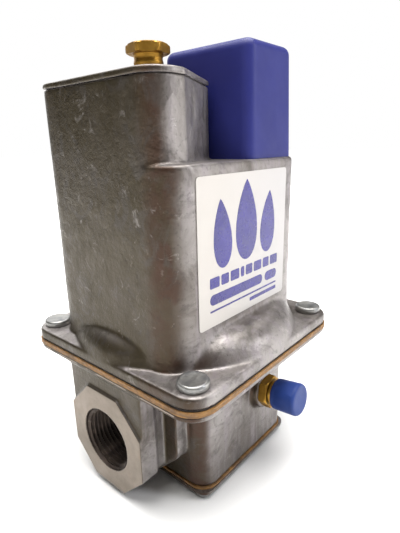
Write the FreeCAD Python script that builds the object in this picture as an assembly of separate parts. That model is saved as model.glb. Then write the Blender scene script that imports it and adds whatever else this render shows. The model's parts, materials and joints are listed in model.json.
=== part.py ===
import FreeCAD, Part
import math
import os

from FreeCAD import Vector

# Modulating gas valve with 3/4 inch pipe ports: a cast lower body, a diaphragm clamped
# between two square flanges, a cast bonnet with the solenoid inside, a plastic terminal
# cover, a brass cap over the adjusting screw and a pressure tap with a push-on cap.
# Units are millimetres. Everything is drawn about the valve's vertical axis (x = y = 0),
# with z = 0 on the pipe axis. It is moved along +x when it is written out, so that the
# origin is the centre of the inlet port's mouth and +x runs to the outlet.

# Pipe line
PORT_SPAN = 100.3
PORT_BORE_R = 13.2
PORT_FLATS = 43.7
PORT_LIP = 1.2
BLOCK_OUT = 48.95
BLOCK_IN = 41.6
NECK_IN = 36.8
NECK_FLATS = 41.4
SHOULDER_HALF_Y = 27.6
SHOULDER_CUT = 12.5
SHOULDER_BOTTOM = -16.0

# Lower body
BODY_HALF_X = 30.6
BODY_HALF_Y = 36.2
BODY_CORNER_R = 7.5
BODY_WALL = 3.6
PLATE_BOTTOM = -21.9
PLATE_TOP = -20.1
BODY_BOTTOM = -19.2
PLATE_OVERHANG = 0.8
PLATE_CORNER_R = 5.0
CEILING = 24.0
WEB_BOTTOM = 4.5
WEB_TOP = 7.5
WEB_HALF_X = 19.0
WEB_WALL = 3.0

# Flanges, diaphragm and their screws
FLANGE_HALF = 49.7
FLANGE_R = 10.0
SCREW_OFFSET = 41.275
LOWER_FLANGE_BOTTOM = 26.7
LOWER_FLANGE_BEVEL = 28.2
LOWER_FLANGE_TOP = 30.2
BEVEL_INSET = 2.2
GASKET_TOP = 32.0
DIAPHRAGM_TOP = 32.7
UPPER_FLANGE_TOP = 37.2
CHAMBER_R = 40.0
GASKET_PROUD = 0.25
SHEET_INSET = 0.5

# Dome over the diaphragm
DOME_FOOT_R = 49.5
DOME_MID_R = 46.2
DOME_MID_Z = 44.0
DOME_TOP_R = 37.5
DOME_TOP = 47.2
CHAMBER_ROOF = 43.0
CHAMBER_FLOOR = 46.0

# Bonnet, its front ledge and the tower
BONNET_LEFT_FOOT = -43.1
BONNET_RIGHT_FOOT = 42.8
BONNET_LEFT_TOP = -42.3
BONNET_RIGHT_TOP = 42.0
BONNET_HALF_Y = 35.5
BONNET_WALL = 3.2
LEDGE = 108.6
LEDGE_EDGE_R = 1.5
TOWER_FRONT_Y = -30.5
TOWER_FRONT_X = -29.0
TOWER_SIDE_Y = -16.0
TOWER_TOP = 135.0
NOTCH_X = 0.2
NOTCH_Y = 12.8
LID_TOP = 137.2
LID_GASKET = 0.4
LID_SCREWS = [(-35.5, 28.5), (34.5, 28.5), (35.5, 18.5), (-36.0, -12.0)]

# Main valve
SEAT_BORE_R = 8.5
SEAT_R = 12.0
SEAT_LIP = 10.5
STEM_R = 2.0
STEM_TOP = 38.0
VALVE_LIFT = 4.0
SPRING_CUP_R = 11.5
SPRING_CUP_TOP = 53.0

# Solenoid, on its own axis under the brass cap
COIL_X = -15.0
PILOT_TOP = 60.0
COIL_BASE = 62.0
COIL_TOP = 100.0
YOKE_T = 3.0
YOKE_HALF_X = 11.5
YOKE_HALF_Y = 23.0
BOBBIN_R = 16.5
WINDING_R = 14.8
TUBE_R = 7.0
TUBE_BORE_R = 6.2
PLUNGER_R = 6.12
POLE_BOTTOM = 86.0
PLUNGER_TOP = 83.5
ADJUST_BORE_R = 4.5
HOUSING_TOP = 128.0
HOUSING_R = 7.6
SPRING_BUTTON = 112.0
BUTTON_TOP = 114.5
SCREW_END = 126.0

# Brass cap over the adjusting screw
CAP_NECK_R = 5.6
CAP_HEX_FLATS = 14.29
CAP_HEX_BOTTOM = 146.3
CAP_HEX_TOP = 149.9
CAP_HEX_TURN = 16.7
CAP_BORE_R = 3.0
CAP_THREAD = 4.6

# Terminal cover
COVER_X0 = 1.6
COVER_X1 = 34.0
COVER_Y0 = -34.0
COVER_Y1 = 11.2
COVER_DRAFT = 1.1
COVER_TOP = 150.6
COVER_WALL = 2.2
COVER_R = 4.2
COVER_TOP_R = 3.6
ENTRY_Y = -13.5
ENTRY_WIDTH = 9.0
ENTRY_HEIGHT = 7.0

# Pressure tap, square to the drafted front wall
TAP_X = 8.5
TAP_Z = 8.9
TAP_TILT = 6.0
TAP_BOSS_R = 8.0
TAP_BOSS_HEIGHT = 3.3
TAP_BORE_R = 4.2
TAP_BORE_DEPTH = 8
TAP_HEX_FLATS = 12.7
TAP_HEX_END = 7.0
TAP_NIPPLE_R = 4.4
TAP_NIPPLE_END = 17.5
TAP_CAP_START = 8.8
TAP_CAP_END = 20.0
TAP_CAP_R = 6.85

# Label on the front wall
LABEL_X0 = -31.0
LABEL_X1 = 26.0
LABEL_Z0 = 50.5
LABEL_Z1 = 104.5
LABEL_T = 0.25

# Screws
FLANGE_HEAD_R = 5.7
FLANGE_HEAD_H = 2.6
FLANGE_SHANK_R = 2.4
SCREW_GAP = 0.06
BASE_SCREW_X = 26.2
BASE_SCREW_Y = 31.8
BASE_HEAD_R = 4.0
BASE_HEAD_H = 2.6

UP = Vector(0, 0, 1)


def outline(corners, z):
    """A closed wire through corners (x, y, radius), with a tangent arc at each corner."""
    count = len(corners)
    arcs = []
    for i, (x, y, radius) in enumerate(corners):
        here = Vector(x, y, z)
        before = Vector(*corners[i - 1][:2], z)
        after = Vector(*corners[(i + 1) % count][:2], z)
        to_before = (before - here).normalize()
        to_after = (after - here).normalize()
        half = to_before.getAngle(to_after) / 2
        reach = radius / math.tan(half)
        bisector = (to_before + to_after).normalize()
        centre = here + bisector * (radius / math.sin(half))
        start = here + to_before * reach
        middle = centre - bisector * radius
        arcs.append((start, middle, here + to_after * reach))
    edges = []
    for i, (start, middle, end) in enumerate(arcs):
        edges.append(Part.Arc(start, middle, end).toShape())
        next_start = arcs[(i + 1) % count][0]
        if (next_start - end).Length > 1e-6:
            edges.append(Part.LineSegment(end, next_start).toShape())
    return Part.Wire(edges)


def rectangle(x0, x1, y0, y1, radius):
    return [(x0, y0, radius), (x1, y0, radius), (x1, y1, radius), (x0, y1, radius)]


def square(half, radius):
    return rectangle(-half, half, -half, half, radius)


def prism(corners, z0, z1):
    return Part.Face(outline(corners, z0)).extrude(Vector(0, 0, z1 - z0))


def taper(corners_low, z0, corners_high, z1):
    return Part.makeLoft([outline(corners_low, z0), outline(corners_high, z1)], True, True)


def box(x0, x1, y0, y1, z0, z1):
    return Part.makeBox(x1 - x0, y1 - y0, z1 - z0, Vector(x0, y0, z0))


def rod(radius, z0, z1, x=0.0, y=0.0):
    return Part.makeCylinder(radius, z1 - z0, Vector(x, y, z0))


def tube(outer, inner, z0, z1, x=0.0, y=0.0):
    return rod(outer, z0, z1, x, y).cut(rod(inner, z0, z1, x, y))


def hexagon(flats, z0, z1, x=0.0, y=0.0, turn=0.0):
    radius = flats / math.sqrt(3)
    points = []
    for i in range(7):
        angle = math.radians(60 * i + turn)
        points.append(Vector(x + radius * math.cos(angle), y + radius * math.sin(angle), z0))
    return Part.Face(Part.makePolygon(points)).extrude(Vector(0, 0, z1 - z0))


def turned(profile, x=0.0, y=0.0):
    """A solid of revolution about the vertical through (x, y), from (radius, z) points."""
    points = [Vector(x + r, y, z) for r, z in profile]
    face = Part.Face(Part.makePolygon(points + points[:1]))
    return face.revolve(Vector(x, y, 0), UP, 360)


def round_edges(solid, radius, chosen):
    return solid.makeFillet(radius, [e for e in solid.Edges if chosen(e)])


def at_height(z):
    def chosen(edge):
        low = edge.BoundBox.ZMin
        high = edge.BoundBox.ZMax
        return abs(low - z) < 1e-3 and abs(high - z) < 1e-3
    return chosen


def coil_spring(radius, wire_r, z0, z1, turns, x=0.0, y=0.0):
    """A round-wire spring whose ends stay inside z0 to z1."""
    height = z1 - z0 - 2 * wire_r
    helix = Part.Wire(Part.makeHelix(height / turns, height, radius))
    circle = Part.Circle(Vector(radius, 0, 0), Vector(0, 1, 0), wire_r)
    spring = helix.makePipeShell([Part.Wire(circle.toShape())], True, True)
    spring.translate(Vector(x, y, z0 + wire_r))
    return spring


def four(solid, half_x, half_y):
    """The same solid at the four corners of a rectangle."""
    copies = []
    for sx in (-1, 1):
        for sy in (-1, 1):
            copy = solid.copy()
            copy.translate(Vector(sx * half_x, sy * half_y, 0))
            copies.append(copy)
    return copies


def drill_four(solid, tool, half_x, half_y):
    return solid.cut(Part.makeCompound(four(tool, half_x, half_y)))


def export(name, solids):
    shape = Part.makeCompound(solids) if len(solids) > 1 else solids[0]
    shape.translate(Vector(PORT_SPAN / 2, 0, 0))
    shape.exportStep("parts/" + name + ".step")


# ---------------------------------------------------------------- lower body

def octagon(flats, cut_half):
    half = flats / 2
    return [
        (half, -cut_half, 0.8), (half, cut_half, 0.8),
        (cut_half, half, 0.8), (-cut_half, half, 0.8),
        (-half, cut_half, 0.8), (-half, -cut_half, 0.8),
        (-cut_half, -half, 0.8), (cut_half, -half, 0.8),
    ]


def along_x(shape, x0):
    """Turns a shape drawn along z into one along +x that starts at x0."""
    shape.rotate(Vector(0, 0, 0), Vector(0, 1, 0), 90)
    shape.translate(Vector(x0, 0, 0))
    return shape


def octagon_block(flats, x0, x1):
    cut_half = flats / 2 * math.tan(math.pi / 8)
    return along_x(prism(octagon(flats, cut_half), 0, x1 - x0), x0)


def port():
    """The outlet port: octagon lip, block, neck and shoulder, before it is bored."""
    half = PORT_FLATS / 2
    neck_half = NECK_FLATS / 2
    lip = octagon_block(PORT_FLATS, BLOCK_OUT, PORT_SPAN / 2)
    block = octagon_block(PORT_FLATS, BLOCK_IN, BLOCK_OUT)
    block_top = box(BLOCK_IN, BLOCK_OUT, -half, half, 0, LOWER_FLANGE_BEVEL)
    neck = octagon_block(NECK_FLATS, NECK_IN, BLOCK_IN)
    neck_top = box(NECK_IN, BLOCK_IN, -neck_half, neck_half, 0, LOWER_FLANGE_BEVEL)
    low = SHOULDER_BOTTOM
    profile = [
        (-low, -SHOULDER_HALF_Y + SHOULDER_CUT, 6.0), (-low, SHOULDER_HALF_Y - SHOULDER_CUT, 6.0),
        (-low - SHOULDER_CUT, SHOULDER_HALF_Y, 6.0), (-LOWER_FLANGE_BEVEL, SHOULDER_HALF_Y, 0.5),
        (-LOWER_FLANGE_BEVEL, -SHOULDER_HALF_Y, 0.5), (-low - SHOULDER_CUT, -SHOULDER_HALF_Y, 6.0),
    ]
    inside = BODY_HALF_X - BODY_WALL
    shoulder = along_x(prism(profile, 0, NECK_IN - inside), inside)
    return lip.multiFuse([block, block_top, neck, neck_top, shoulder])


def port_bore():
    start = BODY_HALF_X - BODY_WALL - 1
    return along_x(rod(PORT_BORE_R, 0, PORT_SPAN / 2 + 1 - start), start)


def both_ends(shape):
    other = shape.copy()
    other.rotate(Vector(0, 0, 0), UP, 180)
    return [shape, other]


def tap_place(shape):
    """Moves a shape drawn up the z axis to stand out of the front wall at the tap."""
    shape.rotate(Vector(0, 0, 0), Vector(1, 0, 0), 90 - TAP_TILT)
    shape.translate(Vector(TAP_X, -BODY_HALF_Y, TAP_Z))
    return shape


def lower_body():
    outer = rectangle(-BODY_HALF_X, BODY_HALF_X, -BODY_HALF_Y, BODY_HALF_Y, BODY_CORNER_R)
    wall = BODY_WALL
    inner = rectangle(
        -BODY_HALF_X + wall, BODY_HALF_X - wall, -BODY_HALF_Y + wall, BODY_HALF_Y - wall,
        BODY_CORNER_R - wall,
    )
    shell = prism(outer, BODY_BOTTOM, LOWER_FLANGE_BEVEL)
    small = square(FLANGE_HALF - BEVEL_INSET, FLANGE_R - BEVEL_INSET)
    full = square(FLANGE_HALF, FLANGE_R)
    bevel = taper(small, LOWER_FLANGE_BOTTOM, full, LOWER_FLANGE_BEVEL)
    flange = prism(full, LOWER_FLANGE_BEVEL, LOWER_FLANGE_TOP)
    boss = tap_place(turned([
        (0, -2), (TAP_BOSS_R + 1.2, -2), (TAP_BOSS_R + 0.4, 0.2), (TAP_BOSS_R - 0.4, TAP_BOSS_HEIGHT),
        (0, TAP_BOSS_HEIGHT),
    ]))
    body = shell.multiFuse([bevel, flange, boss] + both_ends(port()))
    body = body.cut(prism(inner, BODY_BOTTOM, CEILING))
    body = body.cut(Part.makeCompound(both_ends(port_bore())))
    web = box(-WEB_HALF_X, WEB_HALF_X, -BODY_HALF_Y + wall, BODY_HALF_Y - wall, WEB_BOTTOM, WEB_TOP)
    inlet_wall = box(
        -WEB_HALF_X, -WEB_HALF_X + WEB_WALL, -BODY_HALF_Y + wall, BODY_HALF_Y - wall, WEB_BOTTOM, CEILING,
    )
    outlet_wall = box(
        WEB_HALF_X - WEB_WALL, WEB_HALF_X, -BODY_HALF_Y + wall, BODY_HALF_Y - wall, BODY_BOTTOM, WEB_TOP,
    )
    pads = four(rod(5.0, BODY_BOTTOM, BODY_BOTTOM + 12, 0, 0), BASE_SCREW_X, BASE_SCREW_Y)
    pads = [pad.common(shell) for pad in pads]
    body = body.multiFuse([web, inlet_wall, outlet_wall] + pads)
    body = body.cut(rod(SEAT_R, WEB_BOTTOM - 1, WEB_TOP + 1))
    body = body.cut(rod(STEM_R + 0.06, CEILING - 1, LOWER_FLANGE_TOP + 1))
    body = body.cut(rod(2.0, CEILING - 1, LOWER_FLANGE_TOP + 1, 12, 12))
    body = drill_four(
        body, rod(FLANGE_SHANK_R + SCREW_GAP, LOWER_FLANGE_BOTTOM - 1, LOWER_FLANGE_TOP + 1),
        SCREW_OFFSET, SCREW_OFFSET,
    )
    body = drill_four(
        body, rod(1.6 + SCREW_GAP, BODY_BOTTOM - 1, BODY_BOTTOM + 9.5), BASE_SCREW_X, BASE_SCREW_Y,
    )
    return body.cut(tap_place(rod(TAP_BORE_R, -TAP_BORE_DEPTH, TAP_BOSS_HEIGHT + 1))).removeSplitter()


def base_plate():
    corners = rectangle(
        -BODY_HALF_X - PLATE_OVERHANG, BODY_HALF_X + PLATE_OVERHANG,
        -BODY_HALF_Y - PLATE_OVERHANG, BODY_HALF_Y + PLATE_OVERHANG, PLATE_CORNER_R,
    )
    plate = round_edges(prism(corners, PLATE_BOTTOM, PLATE_TOP), 0.8, at_height(PLATE_BOTTOM))
    return drill_four(plate, rod(1.9, PLATE_BOTTOM - 1, PLATE_TOP + 1), BASE_SCREW_X, BASE_SCREW_Y)


def base_gasket():
    rim = BODY_WALL + 0.4
    edge = 0.4
    outer = rectangle(
        -BODY_HALF_X - edge, BODY_HALF_X + edge, -BODY_HALF_Y - edge, BODY_HALF_Y + edge, BODY_CORNER_R,
    )
    inner = rectangle(
        -BODY_HALF_X + rim, WEB_HALF_X - WEB_WALL, -BODY_HALF_Y + rim, BODY_HALF_Y - rim, 3.0,
    )
    beside = rectangle(
        WEB_HALF_X, BODY_HALF_X - rim, -BODY_HALF_Y + rim, BODY_HALF_Y - rim, 3.0,
    )
    gasket = prism(outer, PLATE_TOP, BODY_BOTTOM)
    for window in (inner, beside):
        gasket = gasket.cut(prism(window, PLATE_TOP, BODY_BOTTOM))
    pads = four(rod(4.6, PLATE_TOP, BODY_BOTTOM), BASE_SCREW_X, BASE_SCREW_Y)
    gasket = gasket.multiFuse([pad.common(prism(outer, PLATE_TOP, BODY_BOTTOM)) for pad in pads])
    holes = rod(1.9, PLATE_TOP - 1, BODY_BOTTOM + 1)
    return drill_four(gasket, holes, BASE_SCREW_X, BASE_SCREW_Y).removeSplitter()


def base_screw():
    low = PLATE_BOTTOM - BASE_HEAD_H
    screw = turned([
        (0, low), (BASE_HEAD_R - 1.6, low), (BASE_HEAD_R - 0.5, low + 0.5), (BASE_HEAD_R, low + 1.3),
        (BASE_HEAD_R, PLATE_BOTTOM), (1.6, PLATE_BOTTOM), (1.6, BODY_BOTTOM + 8.0), (0, BODY_BOTTOM + 8.6),
    ])
    slot = box(-0.6, 0.6, -BASE_HEAD_R, BASE_HEAD_R, low - 1, low + 1.0)
    return screw.cut(slot)


def flange_screw():
    foot = UPPER_FLANGE_TOP
    top = foot + FLANGE_HEAD_H
    shank_end = LOWER_FLANGE_BOTTOM + 0.3
    rim = FLANGE_HEAD_R
    head = turned([
        (0, foot), (rim - 0.3, foot), (rim, foot + 0.4), (rim, top - 1.1), (rim - 0.35, top - 0.35),
        (rim - 1.2, top), (rim - 2.0, top - 0.15), (0, top - 0.25),
    ])
    return head.fuse(rod(FLANGE_SHANK_R, shank_end, foot))


def diaphragm_gasket():
    gasket = prism(square(FLANGE_HALF + GASKET_PROUD, FLANGE_R), LOWER_FLANGE_TOP, GASKET_TOP)
    gasket = gasket.cut(rod(CHAMBER_R, LOWER_FLANGE_TOP, GASKET_TOP))
    hole = rod(FLANGE_SHANK_R + SCREW_GAP, LOWER_FLANGE_TOP, GASKET_TOP)
    return drill_four(gasket, hole, SCREW_OFFSET, SCREW_OFFSET)


def diaphragm():
    sheet = prism(square(FLANGE_HALF - SHEET_INSET, FLANGE_R - SHEET_INSET), GASKET_TOP, DIAPHRAGM_TOP)
    sheet = sheet.cut(rod(STEM_R + 0.3, GASKET_TOP, DIAPHRAGM_TOP))
    hole = rod(FLANGE_SHANK_R + SCREW_GAP, GASKET_TOP, DIAPHRAGM_TOP)
    return drill_four(sheet, hole, SCREW_OFFSET, SCREW_OFFSET)


# ---------------------------------------------------------------- bonnet

def bonnet_outline(left, right, half_y, inset):
    return [
        (left + inset, -half_y + inset, 12.0 - inset),
        (right - inset, -half_y + inset, 15.0 - inset),
        (right - inset, half_y - inset, 12.0 - inset),
        (left + inset, half_y - inset, 10.0 - inset),
    ]


def tower_outline(inset):
    """The tower fills the bonnet's plan except the front right corner."""
    left = BONNET_LEFT_TOP
    right = BONNET_RIGHT_TOP
    back = BONNET_HALF_Y
    return [
        (left + inset, TOWER_FRONT_Y + inset, 9.4 - inset),
        (TOWER_FRONT_X - inset * 0.24, TOWER_FRONT_Y + inset, 4.5 - inset),
        (NOTCH_X - inset, TOWER_SIDE_Y + inset * 0.6, 2.2),
        (NOTCH_X - inset, NOTCH_Y + inset, 1.5 + inset * 0.2),
        (right - inset, NOTCH_Y + inset, 4.0 - inset * 0.9),
        (right - inset, back - inset, 12.0 - inset),
        (left + inset, back - inset, 10.0 - inset),
    ]


def dome():
    foot = Vector(DOME_FOOT_R, 0, UPPER_FLANGE_TOP)
    middle = Vector(DOME_MID_R, 0, DOME_MID_Z)
    top = Vector(DOME_TOP_R, 0, DOME_TOP)
    crown = Vector(0, 0, DOME_TOP)
    hub = Vector(0, 0, DIAPHRAGM_TOP)
    skirt = Vector(DOME_FOOT_R, 0, DIAPHRAGM_TOP)
    edges = [
        Part.LineSegment(skirt, foot).toShape(),
        Part.Arc(foot, middle, top).toShape(),
        Part.LineSegment(top, crown).toShape(),
        Part.LineSegment(crown, hub).toShape(),
        Part.LineSegment(hub, skirt).toShape(),
    ]
    return Part.Face(Part.Wire(edges)).revolve(Vector(0, 0, 0), UP, 360)


def spring_cup():
    cup = rod(SPRING_CUP_R + 2.5, CHAMBER_ROOF, SPRING_CUP_TOP + 2.5)
    pilot = rod(5.5, CHAMBER_ROOF, PILOT_TOP - 3.0, COIL_X)
    return cup.fuse(pilot)


def bonnet_solid():
    flange = prism(square(FLANGE_HALF, FLANGE_R), DIAPHRAGM_TOP, UPPER_FLANGE_TOP)
    flange = round_edges(flange, 1.6, at_height(UPPER_FLANGE_TOP))
    pads = four(rod(7.3, DIAPHRAGM_TOP, UPPER_FLANGE_TOP), SCREW_OFFSET, SCREW_OFFSET)
    foot = bonnet_outline(BONNET_LEFT_FOOT, BONNET_RIGHT_FOOT, BONNET_HALF_Y, 0)
    head = bonnet_outline(BONNET_LEFT_TOP, BONNET_RIGHT_TOP, BONNET_HALF_Y, 0)
    casing = taper(foot, DIAPHRAGM_TOP, head, LEDGE)
    casing = round_edges(casing, LEDGE_EDGE_R, at_height(LEDGE))
    tower = prism(tower_outline(0), LEDGE - 8, TOWER_TOP)
    return flange.multiFuse([dome(), casing, tower] + [pad.common(flange) for pad in pads])


def bonnet():
    body = bonnet_solid()
    wall = BONNET_WALL
    chamber = round_edges(
        rod(CHAMBER_R, DIAPHRAGM_TOP, CHAMBER_ROOF), 5.0, at_height(CHAMBER_ROOF),
    )
    body = body.cut(chamber)
    low = bonnet_outline(BONNET_LEFT_FOOT, BONNET_RIGHT_FOOT, BONNET_HALF_Y, wall)
    high = bonnet_outline(BONNET_LEFT_TOP, BONNET_RIGHT_TOP, BONNET_HALF_Y, wall)
    body = body.cut(taper(low, CHAMBER_FLOOR, high, LEDGE - wall))
    body = body.cut(prism(tower_outline(wall), LEDGE - wall - 1, TOWER_TOP))
    body = body.fuse(spring_cup())
    body = body.cut(rod(SPRING_CUP_R, CHAMBER_ROOF - 1, SPRING_CUP_TOP))
    body = body.cut(rod(1.2, CHAMBER_ROOF - 1, PILOT_TOP, COIL_X))
    body = body.cut(rod(3.0, PILOT_TOP - 7, PILOT_TOP, COIL_X))
    body = body.cut(Part.makeCompound([rod(2.0, LEDGE - wall - 1, LEDGE + 1, x, 0.0) for x in (12.0, 22.0)]))
    bosses = [rod(4.0, TOWER_TOP - 14, TOWER_TOP, x, y) for x, y in LID_SCREWS]
    tower = prism(tower_outline(0.5), TOWER_TOP - 14, TOWER_TOP)
    body = body.multiFuse([boss.common(tower) for boss in bosses])
    holes = [rod(1.6 + SCREW_GAP, TOWER_TOP - 10, TOWER_TOP + 1, x, y) for x, y in LID_SCREWS]
    body = body.cut(Part.makeCompound(holes))
    shank = rod(FLANGE_SHANK_R + SCREW_GAP, DIAPHRAGM_TOP - 1, UPPER_FLANGE_TOP + 1)
    return drill_four(body, shank, SCREW_OFFSET, SCREW_OFFSET).removeSplitter()


def tower_lid():
    base = TOWER_TOP + LID_GASKET
    lid = prism(tower_outline(-0.3), base, LID_TOP)
    lid = round_edges(lid, 1.0, at_height(LID_TOP))
    lid = lid.fuse(rod(8.6, TOWER_TOP - 5.5, base, COIL_X))
    lid = lid.cut(rod(CAP_NECK_R + 0.08, TOWER_TOP - 6, LID_TOP + 1, COIL_X))
    tools = []
    for x, y in LID_SCREWS:
        tools.append(rod(1.9, base - 1, LID_TOP + 1, x, y))
        tools.append(Part.makeCone(1.9, 3.4, 1.5, Vector(x, y, LID_TOP - 1.5)))
    return lid.cut(Part.makeCompound(tools))


def lid_gasket():
    gasket = prism(tower_outline(1.0), TOWER_TOP, TOWER_TOP + LID_GASKET)
    gasket = gasket.cut(prism(tower_outline(BONNET_WALL), TOWER_TOP, TOWER_TOP + LID_GASKET))
    pads = [rod(4.0, TOWER_TOP, TOWER_TOP + LID_GASKET, x, y) for x, y in LID_SCREWS]
    whole = prism(tower_outline(1.0), TOWER_TOP, TOWER_TOP + LID_GASKET)
    gasket = gasket.multiFuse([pad.common(whole) for pad in pads])
    holes = [rod(1.9, TOWER_TOP, TOWER_TOP + LID_GASKET, x, y) for x, y in LID_SCREWS]
    return gasket.cut(Part.makeCompound(holes)).removeSplitter()


def lid_screws():
    screws = []
    for x, y in LID_SCREWS:
        screw = turned([
            (0, TOWER_TOP - 9), (1.6, TOWER_TOP - 8.4), (1.6, LID_TOP - 1.55), (3.3, LID_TOP - 0.05),
            (0, LID_TOP - 0.05),
        ], x, y)
        screws.append(screw.cut(box(x - 0.5, x + 0.5, y - 4, y + 4, LID_TOP - 0.8, LID_TOP)))
    return screws


def label_plate():
    corners = rectangle(LABEL_X0, LABEL_X1, LABEL_Z0, LABEL_Z1, 1.5)
    plate = prism(corners, 0, LABEL_T)
    plate.rotate(Vector(0, 0, 0), Vector(1, 0, 0), 90)
    plate.translate(Vector(0, -BONNET_HALF_Y, 0))
    return plate


# ---------------------------------------------------------------- main valve

def valve_seat():
    return turned([
        (SEAT_BORE_R, WEB_BOTTOM), (SEAT_R, WEB_BOTTOM), (SEAT_R, WEB_TOP), (SEAT_R + 1.6, WEB_TOP),
        (SEAT_R + 1.6, WEB_TOP + 1.2), (SEAT_BORE_R + 1.2, SEAT_LIP), (SEAT_BORE_R + 0.5, SEAT_LIP),
        (SEAT_BORE_R, SEAT_LIP - 0.5),
    ])


def disc_facing():
    return tube(11.3, STEM_R, SEAT_LIP + 0.1, SEAT_LIP + 2.6)


def valve_disc():
    base = SEAT_LIP + 2.6
    return turned([
        (STEM_R, base), (11.3, base), (11.3, base - 2.3), (12.6, base - 2.3), (12.6, base + 2.0),
        (4.5, base + 3.2), (STEM_R, base + 3.2),
    ])


def disc_clip():
    return tube(4.0, STEM_R, SEAT_LIP - 1.0, SEAT_LIP + 0.1)


def valve_stem():
    stem = rod(STEM_R, SEAT_LIP - 2.5, STEM_TOP)
    shoulder = rod(3.6, SEAT_LIP + 5.8, SEAT_LIP + 7.0)
    return round_edges(stem, 0.4, at_height(STEM_TOP)).fuse(shoulder)


def lower_diaphragm_plate():
    return tube(24.0, STEM_R, GASKET_TOP - 1.2, GASKET_TOP)


def upper_diaphragm_plate():
    low = DIAPHRAGM_TOP
    return turned([
        (STEM_R, low), (30.0, low), (31.5, low + 1.5), (31.5, low + 2.4), (30.4, low + 2.4),
        (30.4, low + 1.7), (29.8, low + 1.2), (STEM_R, low + 1.2),
    ])


def stem_nut():
    low = DIAPHRAGM_TOP + 1.2
    return hexagon(7.0, low, low + 2.6).cut(rod(STEM_R, low, low + 2.6))


def main_spring():
    return coil_spring(8.6, 0.7, DIAPHRAGM_TOP + 1.2, SPRING_CUP_TOP, 5)


# ---------------------------------------------------------------- solenoid

def pilot_nozzle():
    top = PILOT_TOP
    return turned([
        (0.8, top - 7), (2.95, top - 7), (2.95, top - 3), (4.5, top - 3), (4.5, top - 1.6), (1.6, top),
        (0.8, top),
    ], COIL_X)


def yoke():
    """Bent steel strip: two feet, two sides and the lower bar, on the bonnet's floor."""
    side_low = CHAMBER_FLOOR
    top = COIL_TOP + YOKE_T
    parts = []
    for s in (-1, 1):
        y0, y1 = sorted((s * (YOKE_HALF_Y - YOKE_T), s * YOKE_HALF_Y))
        parts.append(box(COIL_X - YOKE_HALF_X, COIL_X + YOKE_HALF_X, y0, y1, side_low, COIL_TOP))
        y0, y1 = sorted((s * YOKE_HALF_Y, s * (YOKE_HALF_Y + 7)))
        parts.append(box(COIL_X - YOKE_HALF_X, COIL_X + YOKE_HALF_X, y0, y1, side_low, side_low + YOKE_T))
    inner = YOKE_HALF_Y - YOKE_T
    parts.append(box(COIL_X - YOKE_HALF_X, COIL_X + YOKE_HALF_X, -inner, inner, COIL_BASE, COIL_BASE + YOKE_T))
    frame = parts[0].multiFuse(parts[1:]).removeSplitter()
    frame = frame.cut(rod(TUBE_R + 0.05, COIL_BASE - 1, top, COIL_X))
    holes = [rod(1.8, side_low - 1, side_low + YOKE_T + 1, COIL_X, s * (YOKE_HALF_Y + 4)) for s in (-1, 1)]
    return frame.cut(Part.makeCompound(holes))


def yoke_bar():
    bar = prism(
        rectangle(COIL_X - YOKE_HALF_X, COIL_X + YOKE_HALF_X, -YOKE_HALF_Y, YOKE_HALF_Y, 2.0),
        COIL_TOP, COIL_TOP + YOKE_T,
    )
    return bar.cut(rod(TUBE_R + 0.05, COIL_TOP - 1, COIL_TOP + YOKE_T + 1, COIL_X))


def yoke_screws():
    screws = []
    low = CHAMBER_FLOOR + YOKE_T
    for s in (-1, 1):
        screws.append(turned([
            (0, low - YOKE_T), (1.7, low - YOKE_T), (1.7, low), (3.2, low), (3.2, low + 1.4), (2.2, low + 2.0),
            (0, low + 2.0),
        ], COIL_X, s * (YOKE_HALF_Y + 4)))
    return screws


def bobbin():
    low = COIL_BASE + YOKE_T
    top = COIL_TOP
    return turned([
        (TUBE_R + 0.1, low), (BOBBIN_R, low), (BOBBIN_R, low + 1.8), (8.6, low + 1.8), (8.6, top - 1.8),
        (BOBBIN_R, top - 1.8), (BOBBIN_R, top), (TUBE_R + 0.1, top),
    ], COIL_X)


def winding():
    return tube(WINDING_R, 8.65, COIL_BASE + YOKE_T + 1.8, COIL_TOP - 1.8, COIL_X)


def core_tube():
    return tube(TUBE_R, TUBE_BORE_R, COIL_BASE, COIL_TOP + YOKE_T + 5, COIL_X)


def pole_piece():
    return tube(TUBE_BORE_R - 0.02, ADJUST_BORE_R, POLE_BOTTOM, COIL_TOP + YOKE_T + 5, COIL_X)


def core_nut():
    low = COIL_TOP + YOKE_T
    return hexagon(19.0, low, low + 4, COIL_X).cut(rod(TUBE_R + 0.02, low, low + 4, COIL_X))


def plunger():
    low = PILOT_TOP + 1.6
    return turned([
        (0, low), (3.6, low), (3.6, low + 3), (PLUNGER_R, low + 4), (PLUNGER_R, PLUNGER_TOP - 0.5),
        (PLUNGER_R - 0.5, PLUNGER_TOP), (0, PLUNGER_TOP),
    ], COIL_X)


def pilot_pad():
    return rod(3.2, PILOT_TOP + 0.1, PILOT_TOP + 1.6, COIL_X)


def pilot_spring():
    return coil_spring(3.3, 0.55, PLUNGER_TOP, SPRING_BUTTON, 6, COIL_X)


def spring_button():
    return turned([
        (0, SPRING_BUTTON), (4.15, SPRING_BUTTON), (4.15, BUTTON_TOP - 0.6), (1.5, BUTTON_TOP),
        (0, BUTTON_TOP),
    ], COIL_X)


def adjusting_screw():
    screw = rod(ADJUST_BORE_R - 0.05, BUTTON_TOP, SCREW_END, COIL_X)
    return screw.cut(box(COIL_X - 5, COIL_X + 5, -0.6, 0.6, SCREW_END - 1.6, SCREW_END + 1))


def adjuster_housing():
    low = COIL_TOP + YOKE_T + 5
    return tube(HOUSING_R, ADJUST_BORE_R, low, HOUSING_TOP, COIL_X)


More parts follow.
